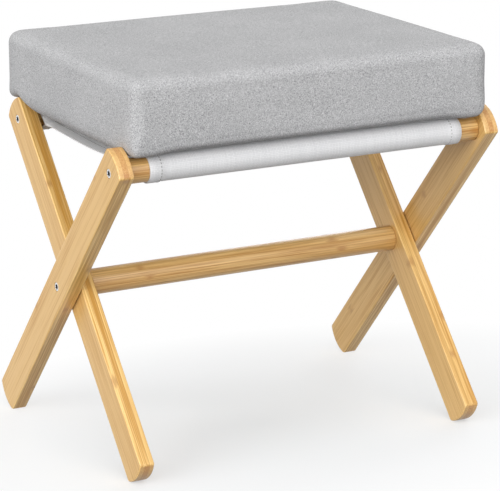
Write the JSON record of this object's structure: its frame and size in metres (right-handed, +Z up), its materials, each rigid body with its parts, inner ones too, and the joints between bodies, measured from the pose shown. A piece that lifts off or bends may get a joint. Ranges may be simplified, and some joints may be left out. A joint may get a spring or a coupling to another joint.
{
  "type": "folding footstool",
  "caption": "Folding footstool with crossed bamboo legs that swing on a stretcher, round rails that carry a fabric sling, and a thick loose cushion.",
  "frame": {"origin": "on the floor under the middle of the stool", "axes": "+X along the rails, to the right as seen from the front, -Y the front, where the outer legs' tops and the front rail are, +Z up"},
  "size_m": [0.48, 0.3514, 0.4603],
  "materials": {
    "bamboo": "satin",
    "steel": "satin",
    "zinc": "satin",
    "nylon": "matte",
    "sling_cloth": "matte",
    "cushion_cloth": "matte",
    "foam": "matte",
    "zip_coil": "matte"
  },
  "bodies": {
    "axle": {"stretcher": "bamboo", "stretcher_insert_left": "zinc", "stretcher_insert_right": "zinc", "pivot_bolt_left": "steel", "pivot_bolt_right": "steel", "pivot_washer_left": "nylon", "pivot_washer_right": "nylon"},
    "outer_frame": {"left_outer_leg": "bamboo", "right_outer_leg": "bamboo", "front_rail": "bamboo", "front_rail_bolt_left": "steel", "front_rail_bolt_right": "steel", "front_rail_insert_left": "zinc", "front_rail_insert_right": "zinc"},
    "inner_frame": {"left_inner_leg": "bamboo", "right_inner_leg": "bamboo", "rear_rail": "bamboo", "rear_rail_bolt_left": "steel", "rear_rail_bolt_right": "steel", "rear_rail_insert_left": "zinc", "rear_rail_insert_right": "zinc"},
    "sling_front": {"front_rail_sleeve": "sling_cloth", "sling_panel_front": "sling_cloth"},
    "sling_rear": {"rear_rail_sleeve": "sling_cloth", "sling_panel_rear": "sling_cloth"},
    "cushion": {"cushion_cover": "cushion_cloth", "cushion_foam": "foam", "cushion_zip": "zip_coil"},
    "zip_slider": {"zip_slider": "steel"}
  },
  "joints": [
    {"name": "outer_fold", "type": "hinge", "parent": "axle", "child": "outer_frame", "pos_m": [0, 0, 0.19054], "axis": [-1, 0, 0], "range_deg": [0, 36.5], "deforming": ["sling_panel_front", "sling_panel_rear"]},
    {"name": "inner_fold", "type": "hinge", "parent": "axle", "child": "inner_frame", "pos_m": [0, 0, 0.19054], "axis": [1, 0, 0], "range_deg": [0, 36.5], "deforming": ["sling_panel_front", "sling_panel_rear"]},
    {"name": "sling_front_swing", "type": "hinge", "parent": "outer_frame", "child": "sling_front", "pos_m": [0, -0.14739, 0.35481], "axis": [-1, 0, 0], "range_deg": [0, 44]},
    {"name": "sling_rear_swing", "type": "hinge", "parent": "inner_frame", "child": "sling_rear", "pos_m": [0, 0.14739, 0.35481], "axis": [1, 0, 0], "range_deg": [0, 44]},
    {"name": "cushion_lift", "type": "slide", "parent": "axle", "child": "cushion", "axis": [0, 0, 1], "range_m": [0, 0.27]},
    {"name": "zip_slide", "type": "slide", "parent": "cushion", "child": "zip_slider", "axis": [-1, 0, 0], "range_m": [0, 0.3]}
  ],
  "couplings": [
    {"joint": "inner_fold", "follows": "outer_fold", "ratio": 1},
    {"joint": "sling_front_swing", "follows": "outer_fold", "ratio": 1.2},
    {"joint": "sling_rear_swing", "follows": "outer_fold", "ratio": 1.2},
    {"joint": "cushion_lift", "follows": "outer_fold", "m_per_rad": 0.4238}
  ]
}
